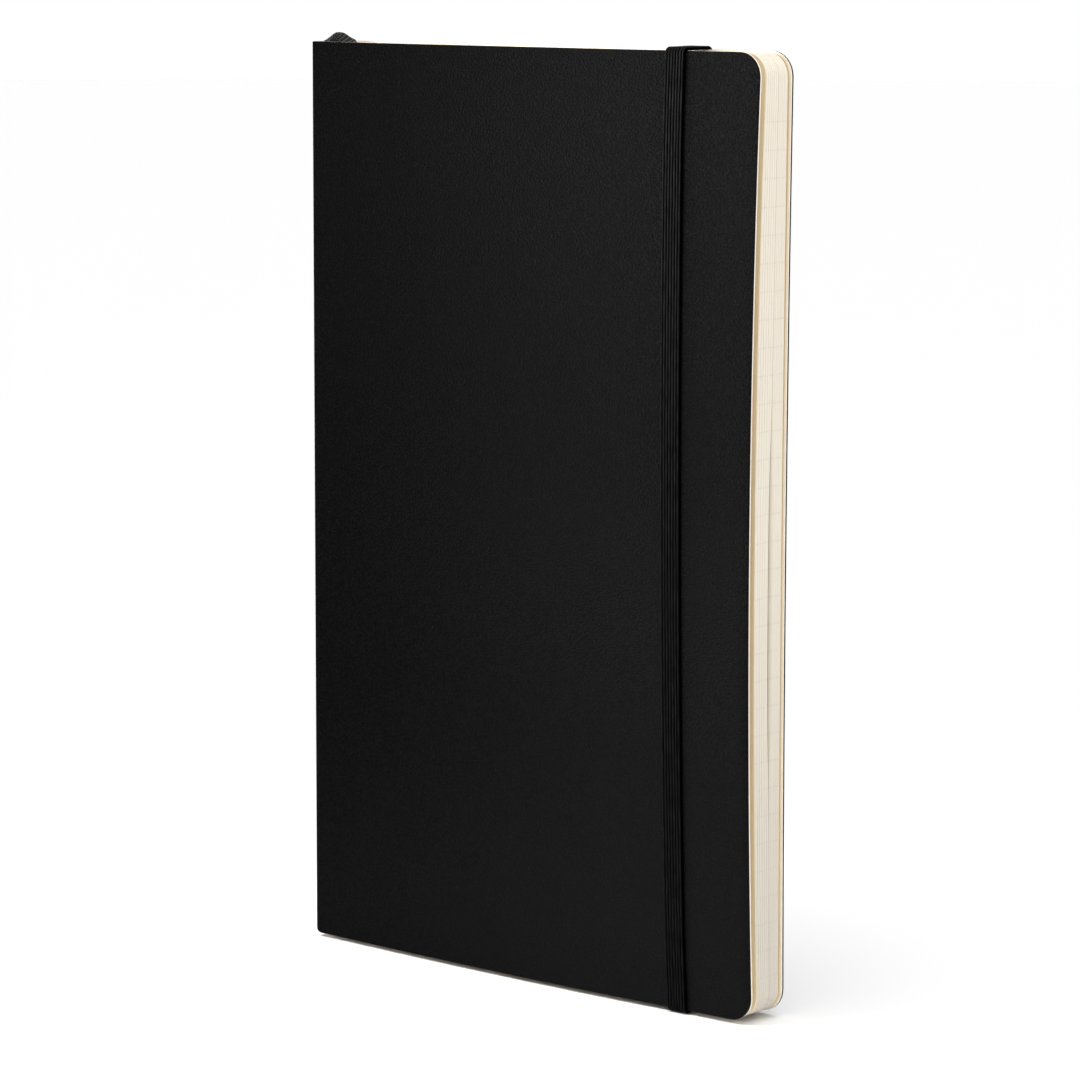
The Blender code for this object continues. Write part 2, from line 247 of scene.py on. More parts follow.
def part_pages(points, number, leaf):
    """Closes the pages at the head and tail of the fore edge and parts them between, at the ribbon."""
    moved = points.copy()
    x, z = points[:, 0], points[:, 2]
    open_share = np.exp(-(((z - PARTING_HEIGHT) / PARTING_LENGTH) ** 4))
    at_fore_edge = smooth(x, 10.0, 60.0)
    before_ribbon = number <= SIGNATURES_BEFORE_RIBBON
    side = 1.0 if before_ribbon else -1.0
    reach = 1.0 - abs(number - SIGNATURES_BEFORE_RIBBON - 0.5) / SIGNATURES_BEFORE_RIBBON
    closing = (1.0 - open_share) * RIBBON_GAP * 0.42 - open_share * PARTING_EXTRA
    moved[:, 1] += side * closing * at_fore_edge * reach
    steps = (SIGNATURES_BEFORE_RIBBON - number) * LEAVES + LEAVES - 1 - leaf
    if not before_ribbon:
        steps = (number - SIGNATURES_BEFORE_RIBBON - 1) * LEAVES + leaf
    moved[:, 0] -= PARTING_DEPTH * math.exp(-steps / PARTING_SPREAD) * open_share * at_fore_edge
    return moved


# ---------------------------------------------------------------- meshes


def new_object(name, points, flat, faces, material, smooth_angle=38.0):
    """Object from points in millimetres; the flat layout positions are kept for the materials."""
    mesh = bpy.data.meshes.new(name)
    mesh.from_pydata((points * MM).tolist(), [], faces)
    attribute = mesh.attributes.new("flat_mm", "FLOAT_VECTOR", "POINT")
    attribute.data.foreach_set("vector", np.asarray(flat, np.float32).ravel())
    mesh.polygons.foreach_set("use_smooth", [True] * len(mesh.polygons))
    mesh.set_sharp_from_angle(angle=math.radians(smooth_angle))
    mesh.materials.append(material)
    mesh.update()
    item = bpy.data.objects.new(name, mesh)
    bpy.context.scene.collection.objects.link(item)
    return item


def sheet_heights(margin, rows):
    radius = CORNER_RADIUS - margin
    low, high = Z_FOOT + margin, Z_HEAD - margin
    corner = radius * (1.0 - np.cos(np.linspace(0.0, math.pi / 2, CORNER_ROWS + 1)))
    middle = np.linspace(low + radius, high - radius, rows + 1)[1:-1]
    return np.concatenate([low + corner, middle, (high - corner)[::-1]])


def fore_edge_x(heights, margin):
    radius = CORNER_RADIUS - margin
    low, high = Z_FOOT + margin, Z_HEAD - margin
    into = np.clip(radius - np.minimum(heights - low, high - heights), 0.0, radius)
    return X_FORE - margin - radius + np.sqrt(np.maximum(radius**2 - into**2, 0.0))


def sheet_grid(y, margin, fixed_x, columns, rows):
    """Points over a sheet with round fore-edge corners, as an array of rows, columns and coordinates."""
    heights = sheet_heights(margin, rows)
    edge = fore_edge_x(heights, margin)
    shares = np.linspace(0.0, 1.0, columns + 1)[1:]
    fixed = np.repeat(np.asarray(fixed_x)[None, :], len(heights), axis=0)
    spread = fixed_x[-1] + (edge[:, None] - fixed_x[-1]) * shares[None, :]
    x = np.concatenate([fixed, spread], axis=1)
    z = np.repeat(heights[:, None], x.shape[1], axis=1)
    return np.stack([x, np.full_like(x, y), z], axis=2)


def boundary_indices(row_count, column_count):
    bottom = list(range(column_count))
    right = [j * column_count + column_count - 1 for j in range(1, row_count)]
    top = [(row_count - 1) * column_count + i for i in range(column_count - 2, -1, -1)]
    left = [j * column_count for j in range(row_count - 2, 0, -1)]
    return bottom + right + top + left


def closed_faces(row_count, column_count, behind, loops):
    """Faces over both sides of a sheet, whose second side starts at point behind, and round its rim."""
    faces = []
    for j in range(row_count - 1):
        for i in range(column_count - 1):
            a = j * column_count + i
            b, c, d = a + 1, a + column_count + 1, a + column_count
            faces.append((a, b, c, d))
            faces.append((behind + a, behind + d, behind + c, behind + b))
    for near, far in zip(loops, loops[1:]):
        for i in range(len(near)):
            j = (i + 1) % len(near)
            faces.append((near[i], far[i], far[j], near[j]))
    return faces


def two_sided_faces(row_count, column_count):
    """Faces of a closed sheet that has two grids of points and nothing between them."""
    behind = row_count * column_count
    boundary = boundary_indices(row_count, column_count)
    return closed_faces(row_count, column_count, behind, [boundary, [behind + i for i in boundary]])


def slab(layers, fixed_x, columns, rows):
    """Closed sheet through layers of (margin, y) in rising y. Returns flat points and faces."""
    grids = [sheet_grid(y, margin, fixed_x, columns, rows) for margin, y in layers]
    row_count, column_count = grids[0].shape[:2]
    boundary = boundary_indices(row_count, column_count)
    first = grids[0].reshape(-1, 3)
    last = grids[-1].reshape(-1, 3)
    points = [first]
    loops = [boundary]
    offset = len(first)
    for grid in grids[1:-1]:
        points.append(grid.reshape(-1, 3)[boundary])
        loops.append([offset + i for i in range(len(boundary))])
        offset += len(boundary)
    points.append(last)
    loops.append([offset + i for i in boundary])
    return np.concatenate(points), closed_faces(row_count, column_count, offset, loops)


def wrap_spine(points):
    """Turns the part of a front sheet that lies past the spine edge round it and across the spine."""
    x, y, z = points[:, 0].copy(), points[:, 1].copy(), points[:, 2]
    turn_x = X_SPINE + SPINE_TURN
    arc = SPINE_TURN * math.pi / 2
    depth = y - Y_FRONT
    past = turn_x - x
    angle = np.clip(past, 0.0, arc) / SPINE_TURN
    radius = SPINE_TURN - depth
    bent_x = turn_x - radius * np.sin(angle)
    bent_y = Y_FRONT + SPINE_TURN - radius * np.cos(angle) + np.clip(past - arc, 0.0, None)
    beyond = past > 0
    return np.column_stack([np.where(beyond, bent_x, x), np.where(beyond, bent_y, y), z])


def mirrored(points):
    return points * np.array([1.0, -1.0, 1.0])


def flipped(faces):
    return [tuple(reversed(face)) for face in faces]


# ---------------------------------------------------------------- materials


class Nodes:
    """Short way to write a material's node tree."""

    def __init__(self, name):
        self.material = bpy.data.materials.new(name)
        self.material.use_nodes = True
        self.tree = self.material.node_tree
        self.shader = self.tree.nodes["Principled BSDF"]

    def add(self, kind, settings=None, **inputs):
        node = self.tree.nodes.new(kind)
        for key, value in (settings or {}).items():
            setattr(node, key, value)
        for key, value in inputs.items():
            self.connect(node.inputs[key.replace("_", " ")], value)
        return node

    def connect(self, socket, value):
        if isinstance(value, bpy.types.NodeSocket):
            self.tree.links.new(value, socket)
        else:
            socket.default_value = value

    def flat(self):
        return self.add("ShaderNodeAttribute", {"attribute_name": "flat_mm"}).outputs["Vector"]

    def math(self, operation, a, b=0.0, c=0.0):
        node = self.add("ShaderNodeMath", {"operation": operation})
        for socket, value in zip(node.inputs, (a, b, c)):
            self.connect(socket, value)
        return node.outputs[0]

    def scaled(self, vector, scale):
        node = self.add("ShaderNodeVectorMath", {"operation": "MULTIPLY"})
        self.connect(node.inputs[0], vector)
        self.connect(node.inputs[1], scale)
        return node.outputs[0]

    def noise(self, vector, scale, detail=2.0, roughness=0.5):
        sockets = {"Vector": vector, "Scale": scale, "Detail": detail, "Roughness": roughness}
        return self.add("ShaderNodeTexNoise", None, **sockets).outputs[0]

    def ramp(self, value, low, high, out_low=0.0, out_high=1.0):
        node = self.add("ShaderNodeMapRange", {"interpolation_type": "SMOOTHSTEP"}, Value=value)
        limits = {"From Min": low, "From Max": high, "To Min": out_low, "To Max": out_high}
        for key, number in limits.items():
            node.inputs[key].default_value = number
        return node.outputs[0]

    def mix(self, factor, a, b):
        node = self.add("ShaderNodeMix", {"data_type": "RGBA"})
        self.connect(node.inputs[0], factor)
        for socket, value in ((node.inputs[6], a), (node.inputs[7], b)):
            self.connect(socket, value if isinstance(value, bpy.types.NodeSocket) else (*value, 1.0))
        return node.outputs[2]

    def parts(self, vector):
        return self.add("ShaderNodeSeparateXYZ", None, Vector=vector).outputs

    def bump(self, height, strength, distance):
        node = self.add("ShaderNodeBump", None, Height=height, Strength=strength, Distance=distance * MM)
        return node.outputs[0]

    def finish(self, colour, roughness, normal=None, specular=0.5, sheen=0.0):
        value = colour if isinstance(colour, bpy.types.NodeSocket) else (*colour, 1.0)
        self.connect(self.shader.inputs["Base Color"], value)
        self.connect(self.shader.inputs["Roughness"], roughness)
        self.connect(self.shader.inputs["Specular IOR Level"], specular)
        self.connect(self.shader.inputs["Sheen Weight"], sheen)
        if normal is not None:
            self.connect(self.shader.inputs["Normal"], normal)
        return self.material


def leatherette():
    """Black pebbled covering with painted shade in its creases, painted highlight specks, and a painted
    sheen: more specular towards the head, the foot and the fore edge.
    """
    n = Nodes("leatherette")
    flat = n.flat()
    warp = n.add("ShaderNodeTexNoise", None, Vector=flat, Scale=0.6, Detail=3.0).outputs["Color"]
    bent = n.add("ShaderNodeVectorMath", {"operation": "MULTIPLY_ADD"})
    n.connect(bent.inputs[0], warp)
    n.connect(bent.inputs[1], (0.9, 0.9, 0.9))
    n.connect(bent.inputs[2], flat)
    stretched = n.scaled(bent.outputs[0], (1.0, 1.0, 1.7))
    smooth_cells = {"feature": "SMOOTH_F1"}
    cells = n.add("ShaderNodeTexVoronoi", smooth_cells, Vector=stretched, Scale=1.5, Smoothness=0.35)
    creases = n.ramp(cells.outputs["Distance"], 0.15, 0.65)
    fine = n.noise(flat, 6.5, 3.0, 0.6)
    broad = n.noise(flat, 0.25, 3.0)
    wrinkles = n.noise(n.scaled(bent.outputs[0], (0.8, 0.8, 3.0)), 1.0, 3.0, 0.6)
    height = n.math("MULTIPLY_ADD", fine, 0.35, n.math("MULTIPLY", creases, -0.8))
    height = n.math("MULTIPLY_ADD", wrinkles, 0.9, height)
    # Painted highlight: scattered light specks of colour stand in for small glints on the grain.
    painted_glints = n.ramp(n.noise(flat, 3.1, 1.0), 0.70, 0.78)
    # Painted shade: the base colour is darker in the creases between the pebbles, where shade falls.
    ground = n.mix(creases, (0.0036, 0.0036, 0.0039), (0.0010, 0.0010, 0.0010))
    colour = n.mix(painted_glints, ground, (0.012, 0.012, 0.012))
    roughness = n.math("MULTIPLY_ADD", broad, 0.10, 0.40)
    x, _, z = n.parts(flat)
    # Painted sheen: the specular level rises towards the head, the foot and the fore edge, standing in for
    # how the light falls.
    towards_head = n.ramp(z, Z_FOOT + 110.0, Z_HEAD, 0.84, 1.50)
    towards_foot = n.ramp(z, Z_FOOT, Z_FOOT + 95.0, 1.40, 1.0)
    towards_fore_edge = n.ramp(x, X_SPINE, X_FORE, 0.016, 0.052)
    painted_sheen = n.math("MULTIPLY", towards_fore_edge, n.math("MULTIPLY", towards_head, towards_foot))
    deeper_at_head = n.ramp(z, Z_FOOT + 40.0, Z_HEAD, 0.0, 0.75)
    depth = n.math("ADD", n.ramp(x, X_SPINE, X_FORE, 0.14, 0.24), deeper_at_head)
    return n.finish(colour, roughness, n.bump(height, depth, 0.60), specular=painted_sheen)


def cover_backing():
    n = Nodes("cover_backing")
    flat = n.flat()
    grain = n.noise(n.scaled(flat, (3.0, 3.0, 1.0)), 4.0, 3.0)
    colour = n.mix(grain, (0.90, 0.81, 0.68), (0.96, 0.88, 0.77))
    return n.finish(colour, 0.75, n.bump(grain, 0.3, 0.05), specular=0.3)


def endpaper():
    n = Nodes("endpaper")
    flat = n.flat()
    fibres = n.noise(n.scaled(flat, (1.0, 1.0, 0.35)), 5.0, 4.0)
    # Painted shade: the tan, darker and warmer than the pages, stands for shade in the gap between cover
    # and block.
    colour = n.mix(fibres, (0.82, 0.69, 0.47), (0.88, 0.76, 0.54))
    return n.finish(colour, 0.8, n.bump(fibres, 0.25, 0.04), specular=0.25)


def page_paper():
    """Cream paper with faint ruling, which also shows as broken marks along the page edges, and painted
    shade that darkens it towards the foot.
    """
    n = Nodes("page_paper")
    flat = n.flat()
    _, _, z = n.parts(flat)
    fibres = n.noise(flat, 4.0, 4.0, 0.6)
    streaks = n.noise(n.scaled(flat, (0.2, 7.0, 0.02)), 1.0, 3.0, 0.65)
    base = n.mix(fibres, (0.805, 0.740, 0.635), (0.845, 0.782, 0.670))
    base = n.mix(n.ramp(streaks, 0.42, 0.70, 0.0, 0.14), base, (0.70, 0.63, 0.52))
    leaf_shift = n.math("MULTIPLY", n.noise(n.scaled(flat, (0.0, 3.0, 0.01)), 1.0, 2.0, 0.9), 1.1)
    height = n.math("ADD", n.math("SUBTRACT", z, RULE_TOP - 0.55), leaf_shift)
    phase = n.math("PINGPONG", height, RULE_PITCH / 2)
    line = n.ramp(phase, 0.12, 0.24, 1.0, 0.0)
    under_top = n.ramp(z, RULE_TOP + 1.0, RULE_TOP + 2.0, 1.0, 0.0)
    over_foot = n.ramp(z, RULE_TOP - RULE_PITCH * RULE_COUNT, RULE_TOP - RULE_PITCH * RULE_COUNT + 1.0)
    printed = n.math("MULTIPLY", n.math("MULTIPLY", line, under_top), over_foot)
    patches = n.ramp(n.noise(n.scaled(flat, (0.0, 2.2, 0.6)), 1.0, 2.0), 0.35, 0.60, 0.03, 0.24)
    ink = n.math("MULTIPLY", printed, patches)
    # Painted shade: the paper darkens towards the foot, standing in for less light there.
    painted_foot_shade = n.ramp(z, Z_FOOT - 10.0, Z_FOOT + 130.0, 0.75, 0.0)
    base = n.mix(painted_foot_shade, base, (0.60, 0.55, 0.48))
    colour = n.mix(ink, base, (0.50, 0.47, 0.44))
    return n.finish(colour, 0.85, n.bump(fibres, 0.15, 0.02), specular=0.2)


def woven(name, dark, light, rib_pitch, pick_pitch, roughness, sheen):
    """Woven strip: ribs across its width and fine picks along its length, in its own strip coordinates,
    with painted highlight on its raised threads, which get the lighter colour.
    """
    n = Nodes(name)
    along, across, _ = n.parts(n.flat())
    pick = n.math("SINE", n.math("MULTIPLY", along, 2 * math.pi / pick_pitch))
    rib = n.math("SINE", n.math("MULTIPLY", across, 2 * math.pi / rib_pitch))
    cross = n.math("MULTIPLY", pick, rib)
    fuzz = n.noise(n.flat(), 9.0, 3.0)
    height = n.math("ADD", n.math("MULTIPLY", cross, 0.5), n.math("MULTIPLY", fuzz, 0.6))
    # Painted highlight: the raised threads of the weave get the light colour, standing in for glints along
    # them.
    painted_thread_highlight = n.ramp(height, 0.1, 0.9)
    colour = n.mix(painted_thread_highlight, dark, light)
    return n.finish(colour, roughness, n.bump(height, 0.6, 0.06), specular=0.10, sheen=sheen)


def elastic_webbing():
    """Ribbed elastic: slightly shiny corded ribs with fine cross threads, and painted shade: the grooves,
    sides and underside are near black and dull.
    """
    n = Nodes("elastic_webbing")
    along, _, height = n.parts(n.flat())
    low = ELASTIC_THICKNESS - ELASTIC_RIB_DEPTH
    rib = n.ramp(height, low + 0.03, ELASTIC_THICKNESS - 0.02)
    pick = n.math("SINE", n.math("MULTIPLY", along, 2 * math.pi / 0.55))
    wander = n.noise(n.scaled(n.flat(), (0.25, 1.4, 0.0)), 1.0, 3.0, 0.6)
    # Painted shade: below the rib tops the colour is near black and the specular is off, standing in for
    # shade in the grooves.
    thread = n.math("MULTIPLY", rib, n.ramp(wander, 0.25, 0.75, 0.35, 1.0))
    colour = n.mix(thread, (0.0005, 0.0005, 0.0005), (0.007, 0.007, 0.0073))
    specular = n.math("MULTIPLY", thread, 0.05)
    fuzz = n.noise(n.flat(), 7.0, 3.0)
    surface = n.math("ADD", n.math("MULTIPLY", pick, 0.35), n.math("MULTIPLY", fuzz, 0.8))
    return n.finish(colour, 0.55, n.bump(surface, 0.5, 0.06), specular=specular)


def fibrous(name, dark, light, stretch, roughness):
    """Plain fibrous stuff for the pieces hidden inside the spine, from object coordinates in metres."""
    n = Nodes(name)
    place = n.add("ShaderNodeTexCoord").outputs["Object"]
    fibres = n.noise(n.scaled(place, stretch), 1.0, 4.0, 0.6)
    return n.finish(n.mix(fibres, dark, light), roughness, n.bump(fibres, 0.5, 0.05), specular=0.2)


def mull_cloth():
    n = Nodes("mull_cloth")
    _, y, z = n.parts(n.add("ShaderNodeTexCoord").outputs["Object"])
    threads = 1100.0
    weave = n.math(
        "MULTIPLY",
        n.math("SINE", n.math("MULTIPLY", y, threads * math.pi)),
        n.math("SINE", n.math("MULTIPLY", z, threads * math.pi)),
    )
    colour = n.mix(n.ramp(weave, -1.0, 1.0), (0.55, 0.52, 0.45), (0.78, 0.75, 0.68))
    return n.finish(colour, 0.9, n.bump(weave, 0.4, 0.1), specular=0.2)


# ---------------------------------------------------------------- pieces


def bend_over_hinge(piece):
    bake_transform(piece)


def bend_over_leaf(piece):
    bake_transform(piece)


def hinge_stops():
    """Columns over a cover's hinge, shared by all its layers."""
    return np.linspace(X_SPINE + SPINE_TURN, HINGE_END + 1.0, HINGE_COLUMNS)


def cover_stops():
    """Columns of a cover sheet in flat X: across the spine, round its edge and over the hinge."""
    turn_x = X_SPINE + SPINE_TURN
    arc = SPINE_TURN * math.pi / 2
    spine_flat = (Y_BACK - Y_FRONT) - 2 * SPINE_TURN
    across_spine = turn_x - arc - np.linspace(spine_flat, 0.0, 8)[:-1]
    round_edge = turn_x - np.linspace(arc, 0.0, 8)[:-1]
    without_spine = np.concatenate([round_edge, hinge_stops()])
    return np.concatenate([across_spine, without_spine]), without_spine


def add_covers(look):
    """The covering: one skin over the front cover and the spine, and one over the back cover."""
    edge = 0.16
    layers = [
        (edge, Y_FRONT),
        (edge * 0.3, Y_FRONT + edge * 0.3),
        (0.0, Y_FRONT + edge),
        (0.0, Y_FRONT + SKIN),
    ]
    with_spine, without_spine = cover_stops()
    flat, faces = slab(layers, with_spine, *SKIN_GRID)
    front = new_object("front_skin", bow(wrap_spine(flat)), flat, faces, look["leatherette"])
    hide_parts("front_cover", "spine_cover")
    bend_over_hinge(front)

    flat, faces = slab(layers, without_spine, *SKIN_GRID)
    bowed = bow(mirrored(wrap_spine(flat)))
    back = new_object("back_skin", bowed, mirrored(flat), flipped(faces), look["leatherette"])
    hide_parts("back_cover")
    bend_over_hinge(back)


def leaf_stops(start):
    """Columns of a leaf over its part beside the fold."""
    return np.linspace(start, LEAF_BEND_END, 12)


def add_cover_layers(look):
    """Light backing and endpaper on the inside of each cover, and the two flyleaves."""
    lining_stops = hinge_stops()[2:]
    stops = leaf_stops(X_SPINE + SPINE_TURN + 0.9)
    seam = Y_FRONT + COVER - PASTEDOWN
    backing = [(0.02, Y_FRONT + SKIN + 0.005), (0.0, Y_FRONT + SKIN + 0.06), (0.0, seam - 0.005)]
    pastedown = [(PASTEDOWN_INSET, seam), (PASTEDOWN_INSET, Y_FRONT + COVER)]
    for side in ("front", "back"):
        body = f"{side}_cover"
        linings = (("backing", "backing", backing), ("pastedown", "endpaper", pastedown))
        for name, material, layers in linings:
            flat, faces = slab(layers, lining_stops, *LINING_GRID)
            if side == "back":
                flat, faces = mirrored(flat), flipped(faces)
            piece = new_object(f"{side}_{name}", bow(flat), flat, faces, look[material])
            bend_over_hinge(piece)
            if name == "backing":
                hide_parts(f"{body}_lining")
    for side, y in (("front", Y_FRONT_LEAF), ("back", Y_BLOCK_BACK + 0.03)):
        layers = [(PAGE_INSET, y), (PAGE_INSET, y + FLYLEAF)]
        flat, faces = slab(layers, stops, *SINGLE_SHEET_GRID)
        leaf = new_object(f"{side}_flyleaf_sheet", bow(flat), flat, faces, look["endpaper"])
        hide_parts(f"{side}_flyleaf")
        bend_over_leaf(leaf)


def signature_y(number):
    y = Y_BLOCK_FRONT + (number - 1) * SIGNATURE_PITCH
    return y + RIBBON_GAP if number > SIGNATURES_BEFORE_RIBBON else y


def add_signatures(look):
    """Each signature is eight leaves with slightly uneven fore edges, sewn at the fold."""
    random = np.random.default_rng(SEED)
    stops = leaf_stops(X_FOLD)
    pitch = SIGNATURE / LEAVES
    for number in range(1, SIGNATURES + 1):
        all_points, all_flat, all_faces = [], [], []
        offset = 0
        for leaf in range(LEAVES):
            y = signature_y(number) + leaf * pitch
            margin = PAGE_INSET + float(random.normal(0.0, LEAF_UNEVENNESS))
            flat, faces = slab([(margin, y), (margin, y + pitch * LEAF_FILL)], stops, *LEAF_GRID)
            all_points.append(bow(part_pages(flat, number, leaf)))
            all_flat.append(flat)
            all_faces += [tuple(offset + i for i in face) for face in faces]
            offset += len(flat)
        name = f"signature_{number:02d}"
        points, flat = np.concatenate(all_points), np.concatenate(all_flat)
        piece = new_object(f"{name}_leaves", points, flat, all_faces, look["paper"])
        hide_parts(name)
        bend_over_leaf(piece)


def strip_section(width, thickness, ribs, depth):
    """Cross-section of a strip as (across, up) points, ribbed on its outer side, counter-clockwise."""
    points = [(-width / 2, 0.0), (width / 2, 0.0)]
    samples = ribs * 6
    for i in range(samples + 1):
        share = 1.0 - i / samples
        rib = abs(math.sin(math.pi * ribs * share))
        edge = min(share, 1 - share) * width
        round_off = thickness * 0.35 * max(0.0, 1 - edge / 0.35) ** 2
        points.append((-width / 2 + width * share, thickness - depth * (1 - rib) - round_off))
    return points


def sweep(section, path):
    """Sweeps a section along (centre, across, up) stations. Returns points, strip coordinates and faces."""
    points, strip, faces = [], [], []
    travelled = 0.0
    before = path[0][0]
    for centre, across, up in path:
        travelled += float(np.linalg.norm(centre - before))
        before = centre
        for a, u in section:
            points.append(centre + across * a + up * u)
            strip.append((travelled, a, u))
    count = len(section)
    for k in range(len(path) - 1):
        for i in range(count):
            j = (i + 1) % count
            a, b = k * count + i, k * count + j
            faces.append((a, b, b + count, a + count))
    faces.append(tuple(reversed(range(count))))
    faces.append(tuple((len(path) - 1) * count + i for i in range(count)))
    return np.array(points), np.array(strip), faces


def corner_path(corners, radius, straight_step, corner_steps):
    """Even points along straight legs joined by round corners, all in one plane of constant X."""
    points = []
    legs = list(zip(corners, corners[1:]))
    for index, (start, finish) in enumerate(legs):
        direction = (finish - start) / np.linalg.norm(finish - start)
        begin = start + direction * (radius if index else 0.0)
        end = finish - direction * (radius if index < len(legs) - 1 else 0.0)
        steps = max(2, int(np.linalg.norm(end - begin) / straight_step))
        points += [begin + (end - begin) * k / steps for k in range(steps + 1)]
        if index < len(legs) - 1:
            following = (legs[index + 1][1] - finish) / np.linalg.norm(legs[index + 1][1] - finish)
            centre = finish - direction * radius + following * radius
            for k in range(1, corner_steps):
                angle = math.pi / 2 * k / corner_steps
                turned = direction * math.sin(angle) - following * math.cos(angle)
                points.append(centre + turned * radius)
    return points


def stations(points, across):
    """Frames along a path: the up vector points out of the loop, square to path and across vector."""
    result = []
    for i, point in enumerate(points):
        before = points[max(i - 1, 0)]
        after = points[min(i + 1, len(points) - 1)]
        tangent = (after - before) / np.linalg.norm(after - before)
        up = np.cross(tangent, across)
        result.append((point, across, up / np.linalg.norm(up)))
    return result


def bowed_y(x, y, z):
    return float(bow(np.array([[x, y, z]]))[0, 1])


def add_elastic(look):
    """One strip from slot to slot: up the back, over the head, down the front, under the tail and back."""
    gap = ELASTIC_CLEARANCE
    slot_top, slot_bottom = Z_HEAD - ELASTIC_SLOT, Z_FOOT + ELASTIC_SLOT
    corners = [
        (Y_BACK - ELASTIC_SUNK_END, slot_top),
        (Y_BACK + gap, slot_top),
        (Y_BACK + gap, Z_HEAD + gap),
        (Y_FRONT - gap, Z_HEAD + gap),
        (Y_FRONT - gap, Z_FOOT - gap),
        (Y_BACK + gap, Z_FOOT - gap),
        (Y_BACK + gap, slot_bottom),
        (Y_BACK - ELASTIC_SUNK_END, slot_bottom),
    ]
    path = corner_path([np.array((0.0, y, z)) for y, z in corners], ELASTIC_TURN_RADIUS, 2.0, 7)
    slanted = []
    for _, y, z in path:
        towards_back = float(smooth(y, Y_FRONT, Y_BACK))
        x = ELASTIC_X + ELASTIC_SLANT * (0.5 - float(share_up(z))) - ELASTIC_BACK_SHIFT * towards_back
        slanted.append((x, y, z))
    bowed = [np.array((p[0], bowed_y(*p), p[2])) for p in slanted]
    section = strip_section(ELASTIC_WIDTH, ELASTIC_THICKNESS, ELASTIC_RIBS, ELASTIC_RIB_DEPTH)
    points, strip, faces = sweep(section, stations(bowed, np.array((1.0, 0.0, 0.0))))
    piece = new_object("elastic_strip", points, strip, faces, look["elastic"], 60.0)
    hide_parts("elastic_band", "elastic_end_top", "elastic_end_bottom")
    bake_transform(piece)


def thick_surface(rows, thickness):
    """Closed sheet of a thickness round a grid of points. Returns points, strip coordinates and faces."""
    grid = np.array(rows)
    row_count, column_count = grid.shape[:2]
    along = np.gradient(grid, axis=0)
    across = np.gradient(grid, axis=1)
    normal = np.cross(along, across)
    normal /= np.linalg.norm(normal, axis=2)[:, :, None]
    sides = [(grid - normal * thickness / 2).reshape(-1, 3), (grid + normal * thickness / 2).reshape(-1, 3)]
    middle = grid[:, column_count // 2]
    travelled = np.concatenate([[0.0], np.cumsum(np.linalg.norm(np.diff(middle, axis=0), axis=1))])
    strip = np.zeros_like(grid)
    strip[:, :, 0] = travelled[:, None]
    strip[:, :, 1] = np.linspace(-RIBBON_WIDTH / 2, RIBBON_WIDTH / 2, column_count)[None, :]
    strip = strip.reshape(-1, 3)
    faces = two_sided_faces(row_count, column_count)
    return np.concatenate(sides), np.concatenate([strip, strip]), faces


def ribbon_across():
    """From one edge of the leaning tail to the other."""
    return np.array((math.cos(RIBBON_LEAN), 0.0, math.sin(RIBBON_LEAN))) * RIBBON_WIDTH


def ribbon_loop_rows(lean):
    """Rows of points across the ribbon, from its glued end over the head and down into the pages."""
    pivot = np.array((RIBBON_PIVOT[0], RIBBON_Y, RIBBON_PIVOT[1]))
    shares = np.linspace(-0.5, 0.5, RIBBON_COLUMNS)
    rows = []
    for z in np.linspace(Z_HEAD - RIBBON_GLUED_LENGTH, Z_HEAD - 1.0, 8):
        rows.append([np.array((RIBBON_START_X, RIBBON_Y + RIBBON_WIDTH * s, z)) for s in shares])
    for t in np.linspace(0.0, 1.0, 33):
        x = RIBBON_START_X + (RIBBON_HUMP_END - RIBBON_START_X) * t
        turn = math.pi / 2 * float(smooth(t, 0.35, 1.0))
        sink = RIBBON_SINK * float(smooth(t, 0.55, 1.0))
        row = []
        for s in shares:
            px = x + math.sin(turn) * RIBBON_WIDTH * s
            py = math.cos(turn) * RIBBON_WIDTH * s
            dome = math.exp(-(((px - RIBBON_HUMP_PEAK) / RIBBON_HUMP_SPREAD) ** 2))
            dome *= 1.0 - RIBBON_HUMP_ROUND * (2 * py / RIBBON_WIDTH) ** 2
            pucker = RIBBON_PUCKER * math.sin(14.0 * s + 9.0 * t) * dome
            slope = math.sin(turn) * math.tan(RIBBON_LEAN) * RIBBON_WIDTH * s
            pz = Z_HEAD - 0.35 + RIBBON_RISE * dome + pucker + slope - sink
            row.append(np.array((px, RIBBON_Y + py, pz)))
        rows.append(row)
    across = ribbon_across()
    last = rows[-1][RIBBON_MIDDLE]
    for t in np.linspace(0.2, 1.0, 6):
        centre = last * (1 - t) + pivot * t - lean * 2.0 * t * (1 - t)
        rows.append([centre + across * s for s in shares])
    return rows


def add_ribbon(look):
    """Ribbon glued in the spine, looped over the head and led down between the pages."""
    section = strip_section(1.0, RIBBON_THICKNESS, 1, 0.02)
    section = [(a, u - RIBBON_THICKNESS / 2) for a, u in section]
    lean = np.array((math.sin(RIBBON_LEAN), 0.0, -math.cos(RIBBON_LEAN)))
    rows = ribbon_loop_rows(lean)
    points, strip, faces = thick_surface(rows, RIBBON_THICKNESS)
    loop = new_object("ribbon_loop", points, strip, faces, look["ribbon"], 60.0)
    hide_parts("ribbon_anchor")
    bend_over_leaf(loop)

    pivot = rows[-1][RIBBON_MIDDLE]
    frames = []
    for step in range(RIBBON_STATIONS):
        centre = pivot + lean * (RIBBON_LENGTH * step / (RIBBON_STATIONS - 1))
        bowed = np.array((centre[0], bowed_y(*centre), centre[2]))
        frames.append((bowed, ribbon_across(), np.array((0.0, 1.0, 0.0))))
    points, strip, faces = sweep(section, frames)
    strip = strip * np.array([1.0, RIBBON_WIDTH, 1.0])
    tail = new_object("ribbon_strip", points, strip, faces, look["ribbon"], 60.0)
    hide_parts("ribbon_tail")
    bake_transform(tail)


